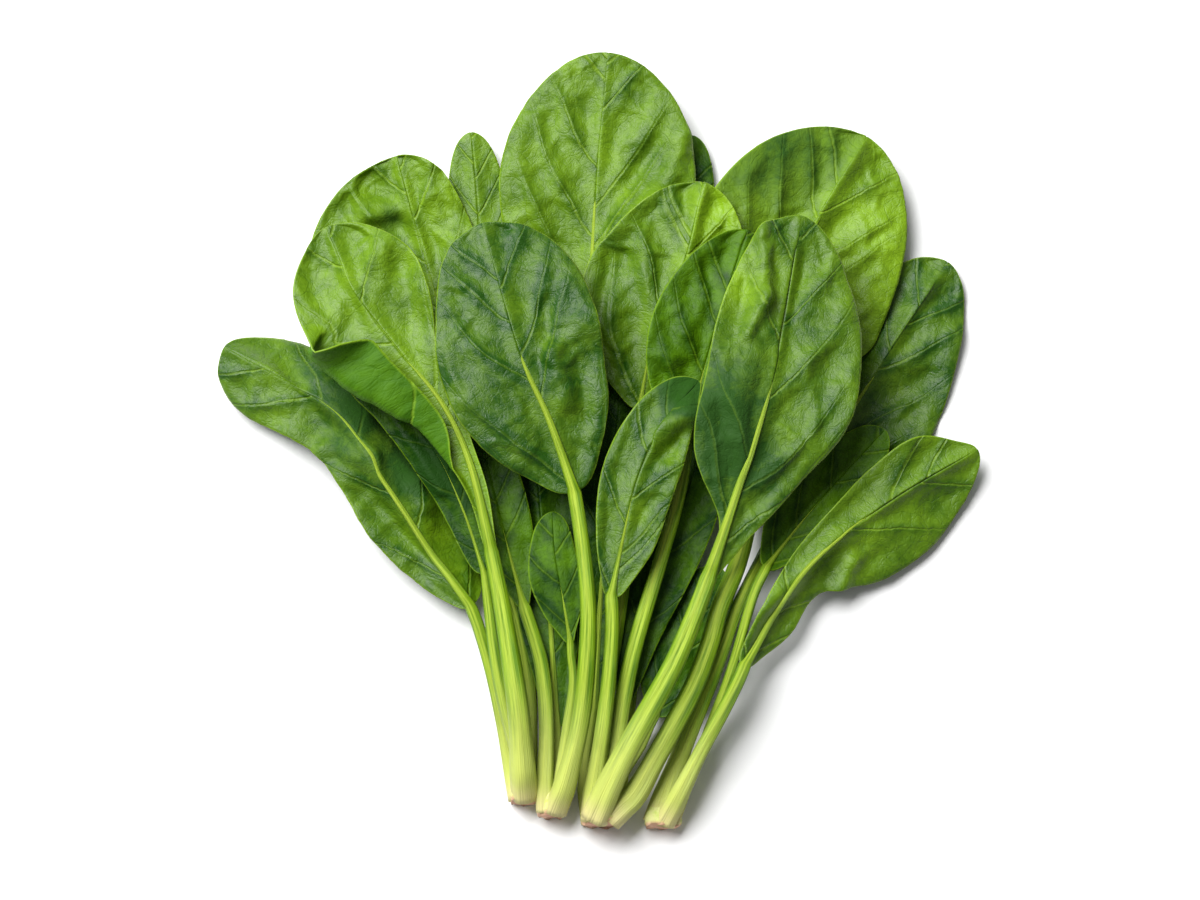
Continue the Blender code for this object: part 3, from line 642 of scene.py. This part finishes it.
def foot_of(stem, radius):
    """Where a petiole ends inside its crown, just above the cut."""
    slope = (stem[0, 0] - stem[1, 0]) / (stem[0, 1] - stem[1, 1])
    heading = stem[0, 0] - 10 * slope
    crown = min(CROWNS, key=lambda one: abs(one.x - heading))
    reach = max(crown.half_width - radius[0] * 1.25, 0.5)
    x = stem[0, 0] + slope * (crown.y + 3 - stem[0, 1])
    x = crown.x + np.clip(x - crown.x, -reach, reach)
    highest = 2 * crown.half_height - radius[0] - 0.6
    z = max(min(stem[0, 2] * 0.85, highest), radius[0] * 0.85 + 0.4)
    return np.array([x, crown.y + 1.2 + 0.3 * z, z])


def stem_route(points, stem, radius):
    """A petiole's line from its crown and then the midrib along the blade's face."""
    rib = points[:, points.shape[1] // 2]
    rib = rib[: int(len(rib) * 0.95)].copy()
    rib[:, 2] = softened(rib[:, 2:], 8, 1)[:, 0]
    foot = foot_of(stem, radius)
    halfway = (foot + stem[0]) / 2
    knots = np.vstack([foot, halfway, stem])
    petiole = through(knots, np.linspace(0, 1, PETIOLE_STEPS + 1))[:-1]
    share = np.concatenate([np.zeros(PETIOLE_STEPS), np.linspace(0, 1, len(rib))])
    return np.concatenate([petiole, rib]), share


def sections(route, run, place):
    """Middle, sideways and upward directions at the distances place along a route."""
    reach = 1.2
    middle, ahead, behind = (
        np.column_stack([np.interp(place + k, run, route[:, axis]) for axis in range(3)])
        for k in (0, reach, -reach)
    )
    along = ahead - behind
    along /= np.linalg.norm(along, axis=1)[:, None]
    side = np.cross(along, [0, 0, 1])
    side /= np.linalg.norm(side, axis=1)[:, None]
    return middle, side, np.cross(side, along)


def stem_outline(angle, place, seed):
    """A petiole's ribbed outline with a shallow channel along its top, as shares of its radius."""
    twist = 0.5 * np.sin(place / 35 + seed)
    ribs = 0.022 * np.cos(7 * (angle + twist)) + 0.035 * np.cos(3 * angle + place / 40 + seed)
    top = np.abs(np.angle(np.exp(1j * (angle + twist * 0.6 - pi / 2))))
    return 1 + ribs - 0.12 * np.exp(-((top / 0.42) ** 2))


def stem_radius(radius, place, petiole_run, on_rib, fade):
    """Radius along a petiole, which flares at its foot, and along the midrib it runs on into."""
    share = np.linspace(0, 1, 60)
    petiole = np.interp(place, np.linspace(0, petiole_run, 60), through(radius, share))
    foot = 1 + 0.32 * (1 - smooth_step(2, 30, place))
    midrib = radius[-1] * 0.8 * (1 - on_rib) ** fade + 0.30 * (1 - on_rib) + 0.08
    return np.where(on_rib > 0, np.minimum(midrib, radius[-1]), petiole * foot)


def vertex_places(piece):
    flat = np.empty(len(piece.data.vertices) * 3)
    piece.data.vertices.foreach_get("co", flat)
    return flat.reshape(-1, 3)


def add_values(piece, name, values):
    made = piece.data.attributes.new(name, "FLOAT", "POINT")
    made.data.foreach_set("value", values.astype(np.float32))


def turn_outward(piece):
    deselect()
    bpy.context.view_layer.objects.active = piece
    bpy.ops.object.mode_set(mode="EDIT")
    bpy.ops.mesh.select_all(action="SELECT")
    bpy.ops.mesh.normals_make_consistent(inside=False)
    bpy.ops.object.mode_set(mode="OBJECT")


def make_petiole(leaf, points, stem, seed):
    route, share = stem_route(points, stem, leaf.stem_r)
    run = np.concatenate([[0], np.cumsum(np.linalg.norm(np.diff(route, axis=0), axis=1))])
    tube = tube_rings("petiole_" + leaf.name, STEM_RINGS)
    unit = vertex_places(tube)
    place = (unit[:, 2] + 1) / 2 * run[-1]
    angle = np.arctan2(unit[:, 1], unit[:, 0])
    middle, side, up = sections(route, run, place)
    on_rib = np.interp(place, run, share)
    fade = 1.7 if length_of(leaf.rib) > LONG_RIB else 4.5
    wide = stem_radius(leaf.stem_r, place, run[PETIOLE_STEPS], on_rib, fade)
    middle[:, 2] += 0.45 * wide * smooth_step(0, 0.12, on_rib)
    outline = wide * stem_outline(angle, place, seed)
    tall = np.where(on_rib > 0, 0.75, 0.85)
    surface = middle + side * (outline * np.cos(angle))[:, None]
    surface += up * (outline * tall * np.sin(angle))[:, None]
    tube.data.vertices.foreach_set("co", put_in_place(surface).ravel())
    turn_outward(tube)
    add_values(tube, "run", place)
    add_values(tube, "round", angle / pi)
    add_values(tube, "on_rib", on_rib)
    tube.data.materials.append(petiole_skin)
    tube.data.shade_smooth()
    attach(tube, "root")
    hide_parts("stem_" + leaf.name)


# Finishes


class Wire:
    """An output socket of a finish, which takes plain arithmetic."""

    def __init__(self, finish, socket):
        self.finish = finish
        self.socket = socket

    def maths(self, operation, first, second):
        return self.finish.node("ShaderNodeMath", {"operation": operation}, {0: first, 1: second})

    def __add__(self, other):
        return self.maths("ADD", self, other)

    __radd__ = __add__

    def __sub__(self, other):
        return self.maths("SUBTRACT", self, other)

    def __rsub__(self, other):
        return self.maths("SUBTRACT", other, self)

    def __mul__(self, other):
        return self.maths("MULTIPLY", self, other)

    __rmul__ = __mul__

    def __truediv__(self, other):
        return self.maths("DIVIDE", self, other)

    def __rtruediv__(self, other):
        return self.maths("DIVIDE", other, self)


class Finish:
    """A material whose nodes are added one call at a time."""

    def __init__(self, name):
        self.material = bpy.data.materials.new(name)
        self.material.use_nodes = True
        self.tree = self.material.node_tree
        self.shader = self.tree.nodes["Principled BSDF"]

    def node(self, kind, settings, sockets, output=0):
        made = self.tree.nodes.new(kind)
        for name, value in settings.items():
            setattr(made, name, value)
        for name, value in sockets.items():
            self.feed(made.inputs[name], value)
        return Wire(self, made.outputs[output])

    def feed(self, socket, value):
        if isinstance(value, Wire):
            self.tree.links.new(value.socket, socket)
        else:
            socket.default_value = value

    def set(self, **sockets):
        for name, value in sockets.items():
            self.feed(self.shader.inputs[name.replace("_", " ")], value)

    def attribute(self, name):
        return self.node("ShaderNodeAttribute", {"attribute_name": name}, {}, "Fac")

    def blade_map(self):
        return self.node("ShaderNodeUVMap", {}, {})

    def object_place(self):
        return self.node("ShaderNodeTexCoord", {}, {}, "Object")

    def noise(self, place, scale, detail=3, rough=0.5):
        sockets = {"Vector": place, "Scale": scale, "Detail": detail, "Roughness": rough}
        return self.node("ShaderNodeTexNoise", {}, sockets, "Fac")

    def cells(self, place, scale):
        """Distance to the seams of a net of cells."""
        settings = {"feature": "DISTANCE_TO_EDGE"}
        return self.node("ShaderNodeTexVoronoi", settings, {"Vector": place, "Scale": scale})

    def between(self, value, low, high, start=0, end=1):
        settings = {"interpolation_type": "SMOOTHSTEP"}
        sockets = {"Value": value, 1: low, 2: high, 3: start, 4: end}
        return self.node("ShaderNodeMapRange", settings, sockets)

    def mix(self, share, first, second, blend="MIX"):
        settings = {"data_type": "RGBA", "blend_type": blend}
        return self.node("ShaderNodeMix", settings, {0: share, 6: first, 7: second}, 2)

    def along(self, x, y):
        """A flat place whose two distances are worked out."""
        return self.node("ShaderNodeCombineXYZ", {}, {"X": x, "Y": y})

    def fraction(self, value):
        return self.node("ShaderNodeMath", {"operation": "FRACT"}, {0: value})

    def size(self, value):
        return self.node("ShaderNodeMath", {"operation": "ABSOLUTE"}, {0: value})

    def bump(self, height, distance, strength=1):
        sockets = {"Height": height, "Distance": distance, "Strength": strength}
        return self.node("ShaderNodeBump", {}, sockets)


def colour(red, green, blue):
    """A screen colour, 0 to 255, as a scene-linear one."""
    values = [c / 255 for c in (red, green, blue)]
    return tuple(v / 12.92 if v < 0.04 else ((v + 0.055) / 1.055) ** 2.4 for v in values) + (1,)


def leaf_finish(name, deep, fresh, vein_colour, gloss, vein_share, sheen):
    """Leaf skin from deep to fresh green, with pale veins, painted shade beside the veins and in
    the fine twig creases, and a pale rim painted as light through the margin.
    """
    finish = Finish(name)
    flat = finish.blade_map()
    sockets = {"Vector": flat, "Scale": 9, "Detail": 2}
    drift = finish.node("ShaderNodeTexNoise", {}, sockets, "Color")
    place = finish.mix(0.035, flat, drift, "LINEAR_LIGHT")
    from_rib = finish.attribute("from_rib")
    phase = finish.attribute("vein_phase") + (finish.noise(place, 30) - 0.5) * 0.06
    off_vein = finish.size(finish.fraction(phase) - 0.5) * finish.attribute("vein_spacing")
    inner = 1 - finish.between(from_rib, 6, 30, 0, 0.8)
    vein = (1 - finish.between(off_vein, 0.05, 0.7)) * inner
    # Painted shade in the strips beside the sunken veins.
    vein_shade = (1 - finish.between(off_vein, 0.3, 4)) * inner
    twig = 1 - finish.between(finish.cells(place, 14), 0.004, 0.05)
    mesh = 1 - finish.between(finish.cells(place, 46), 0.02, 0.16)
    grain = finish.noise(place, 75, 4, 0.65)
    blotch = finish.noise(place, 5, 3, 0.55)
    mottle = finish.noise(place, 30, 3, 0.6)
    # The tone attribute brings in the painted shade and highlight patches together with random
    # mottling.
    tone_and_painted_light = finish.attribute("tone") + (blotch - 0.5) * 0.9
    tone_and_painted_light = tone_and_painted_light + (mottle - 0.5) * 0.45 + (grain - 0.5) * 0.3
    # The greens deepen beside the veins as painted shade.
    tone_and_painted_light = tone_and_painted_light + (1 - finish.between(from_rib, 0, 9)) * 0.06 - vein_shade * 0.22
    base = finish.mix(tone_and_painted_light, deep, fresh)
    # Painted shade: the fine twig and mesh creases are darkened toward deep green.
    base = finish.mix(twig * 0.15 + mesh * 0.05, base, deep)
    strong = (1 - finish.between(from_rib, 1, 20)) * (tone_and_painted_light * 0.45 + 0.05) + vein_share
    base = finish.mix(vein * strong, base, vein_colour)
    # Painted light: a pale rim where light shows through the thin margin.
    rim_light = 1 - finish.between(finish.attribute("from_edge"), 0.15, 0.6)
    base = finish.mix(rim_light * 0.42, base, vein_colour)
    skin = finish.noise(place, 110, 4, 0.65)
    height = skin * 0.5 + grain * 0.5 + mottle * 0.6 - mesh * 0.12 - twig * 0.14 - vein * 0.8
    normal = finish.bump(height, 0.0004, 0.9)
    roughness = finish.between(mottle, 0.2, 0.8, gloss - 0.05, gloss + 0.08)
    roughness = roughness + finish.attribute("dull")
    finish.set(Base_Color=base, Roughness=roughness, Normal=normal, Specular_IOR_Level=sheen)
    return finish.material


def petiole_finish():
    """Petiole skin: green, with flanks painted darker as shade, a pale top line painted as a
    highlight, long fibres and a paler foot.
    """
    finish = Finish("petiole_skin")
    run = finish.attribute("run")
    turn = finish.attribute("round")
    on_rib = finish.attribute("on_rib")
    grain = finish.noise(finish.along(run / 70, turn * 3), 3.2, 4, 0.6)
    fibre = finish.noise(finish.along(run / 110, turn * 14), 2, 3)
    skin = finish.mix(finish.between(grain, 0.30, 0.75), colour(84, 128, 0), colour(140, 174, 8))
    # Painted highlight: a pale line along the top of the petiole.
    painted_highlight_line = 1 - finish.between(finish.size(turn - 0.58), 0.04, 0.26)
    skin = finish.mix(painted_highlight_line * finish.between(grain, 0.2, 0.7) * 0.5, skin, colour(198, 214, 84))
    skin = finish.mix(finish.between(fibre, 0.45, 0.75) * 0.25, skin, colour(196, 212, 84))
    # Painted shade: the flanks, turned away from the top, darken toward deep green.
    flank_shade = finish.between(finish.size(turn - 0.5), 0.22, 0.5)
    skin = finish.mix(flank_shade * 0.55, skin, colour(72, 112, 0))
    skin = finish.mix((1 - finish.between(run, 6, 56)) * 0.6, skin, colour(214, 218, 120))
    skin = finish.mix((1 - finish.between(run, 0, 12)) * 0.5, skin, colour(222, 196, 160))
    skin = finish.mix(finish.between(on_rib, 0.02, 0.5) * 0.35, skin, colour(170, 196, 62))
    skin = finish.mix(finish.between(on_rib, 0.45, 0.95) * 0.7, skin, colour(108, 148, 34))
    normal = finish.bump(fibre + grain * 0.5, 0.0006, 0.8)
    finish.set(Base_Color=skin, Roughness=finish.between(grain, 0, 1, 0.38, 0.55), Normal=normal,
               Specular_IOR_Level=0.25)
    return finish.material


def crown_finish():
    """Crown skin: pale green sides and a pinkish-brown cut face."""
    finish = Finish("crown_skin")
    place = finish.object_place()
    cut = finish.attribute("cut")
    grain = finish.noise(place, 260, 5, 0.65)
    rough = finish.noise(place, 900, 4, 0.7)
    patch = finish.between(grain, 0.35, 0.65)
    side = finish.mix(patch, colour(186, 202, 92), colour(214, 216, 138))
    face = finish.mix(finish.between(grain, 0.3, 0.7), colour(190, 134, 104), colour(228, 184, 150))
    face = finish.mix(finish.between(rough, 0.55, 0.75) * 0.5, face, colour(132, 84, 58))
    base = finish.mix(cut, side, face)
    normal = finish.bump(grain + rough * 0.5, 0.0009, 0.8)
    finish.set(Base_Color=base, Roughness=finish.between(grain, 0, 1, 0.5, 0.75), Normal=normal)
    return finish.material


def floor_finish():
    finish = Finish("pale_paper")
    place = finish.object_place()
    tint = finish.mix(finish.noise(place, 3, 2), (0.9, 0.9, 0.9, 1), (0.93, 0.93, 0.93, 1))
    finish.set(Base_Color=tint, Roughness=finish.noise(place, 400, 2) * 0.1 + 0.82)
    return finish.material


leaf_face = leaf_finish(
    "leaf_face", colour(30, 72, 1), colour(124, 163, 17), colour(146, 182, 40), 0.41, 0.13, 0.32
)
# The matt finish is duller, and its deep and fresh greens are painted darker as shade for the
# leaves low in the bunch.
leaf_matt_in_shade = leaf_finish(
    "leaf_matt_in_shade", colour(20, 58, 0), colour(104, 152, 4), colour(130, 168, 30), 0.46, 0.10, 0.16
)
# The underside finish is painted darker and greener than a real underside, as shade on the
# curled-over margins.
leaf_back_shaded = leaf_finish(
    "leaf_back_shaded", colour(38, 84, 2), colour(84, 130, 4), colour(140, 176, 40), 0.58, 0.3, 0.16
)
petiole_skin = petiole_finish()
crown_skin = crown_finish()


# Crowns

Crown = namedtuple("Crown", "name x y half_width half_height end")
CROWNS = (
    Crown("crown_left", -27, -134.5, 5.2, 5.5, -121),
    Crown("crown_mid_left", -17, -139.5, 5.2, 5.8, -127),
    Crown("crown_centre", 0.5, -143, 7, 7.6, -129),
    Crown("crown_right", 21.7, -143, 6.6, 4.6, -133),
)


def make_crown(crown, seed):
    """A lumpy cut base: a cylinder cut into rings, furrowed where petioles grow together."""
    tube = tube_rings("cut_" + crown.name, 24)
    unit = vertex_places(tube)
    t = (unit[:, 2] + 1) / 2
    angle = np.arctan2(unit[:, 1], unit[:, 0])
    furrows = 1 - 0.16 * np.abs(np.sin(angle * 2.5 + seed)) ** 3
    lumps = furrows + 0.05 * np.cos(angle * 3 + 2 * seed)
    swell = (0.93 + 0.10 * smooth_step(0, 0.12, t)) * (1 - 0.45 * smooth_step(0.25, 1, t))
    out = np.hypot(unit[:, 0], unit[:, 1]) * lumps * swell
    x = crown.x + crown.half_width * out * np.cos(angle)
    z = np.maximum(crown.half_height * (1 + out * np.sin(angle)), 0.05)
    ragged = 0.5 * np.cos(angle * 6 + seed) * (t < 0.01)
    y = crown.y + 0.30 * z + ragged + t * (crown.end - crown.y)
    place = np.column_stack([x, y, z])
    tube.data.vertices.foreach_set("co", put_in_place(place).ravel())
    turn_outward(tube)
    add_values(tube, "cut", 1 - smooth_step(0.0, 0.16, t))
    tube.data.materials.append(crown_skin)
    tube.data.shade_smooth()
    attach(tube, "root")
    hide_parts(crown.name)


# The bunch


def make_bunch():
    heap = Heap()
    for number, leaf in enumerate(LEAVES):
        seed = number * 1.37
        points, along, across, half, stem = shape_leaf(leaf, heap, seed)
        make_blade(leaf, points, along, across, half, seed)
        make_petiole(leaf, points, stem, seed)
    for number, crown in enumerate(CROWNS):
        make_crown(crown, number * 2.1)


# Stage, camera and light

VIEW_TILT = radians(14)
VIEW_DISTANCE = 1.62
LENS = 135
SENSOR = 36
KEY_PLACE = (-0.8, 0.7, 1.5)
KEY_SIZE = 1.4
KEY_POWER = 71
ROOM_LIGHT = 0.2


def aim(thing, target):
    direction = Vector(target) - thing.location
    thing.rotation_euler = direction.to_track_quat("-Z", "Y").to_euler()


def add_camera():
    target = (ORIGIN_SHIFT[0] * MM, (ORIGIN_SHIFT[1] - 5.2) * MM, 0)
    data = bpy.data.cameras.new("view")
    data.lens = LENS
    data.sensor_width = SENSOR
    camera = bpy.data.objects.new("view", data)
    bpy.context.scene.collection.objects.link(camera)
    back = Vector((0, -sin(VIEW_TILT), cos(VIEW_TILT)))
    camera.location = Vector(target) + back * VIEW_DISTANCE
    aim(camera, target)
    bpy.context.scene.camera = camera


def add_light(name, place, size, power):
    data = bpy.data.lights.new(name, "AREA")
    data.size = size
    data.energy = power
    light = bpy.data.objects.new(name, data)
    light.location = place
    aim(light, (0, 0, 0))
    bpy.context.scene.collection.objects.link(light)


def add_stage():
    deselect()
    bpy.ops.mesh.primitive_plane_add(size=6)
    floor = bpy.context.object
    floor.name = "floor"
    floor.data.materials.append(floor_finish())
    world = bpy.data.worlds.new("studio")
    world.use_nodes = True
    room = world.node_tree.nodes["Background"]
    room.inputs["Color"].default_value = (1, 1, 1, 1)
    room.inputs["Strength"].default_value = ROOM_LIGHT
    bpy.context.scene.world = world
    bpy.context.scene.view_settings.view_transform = "Standard"


add_camera()
add_stage()
add_light("key", KEY_PLACE, KEY_SIZE, KEY_POWER)
make_bunch()
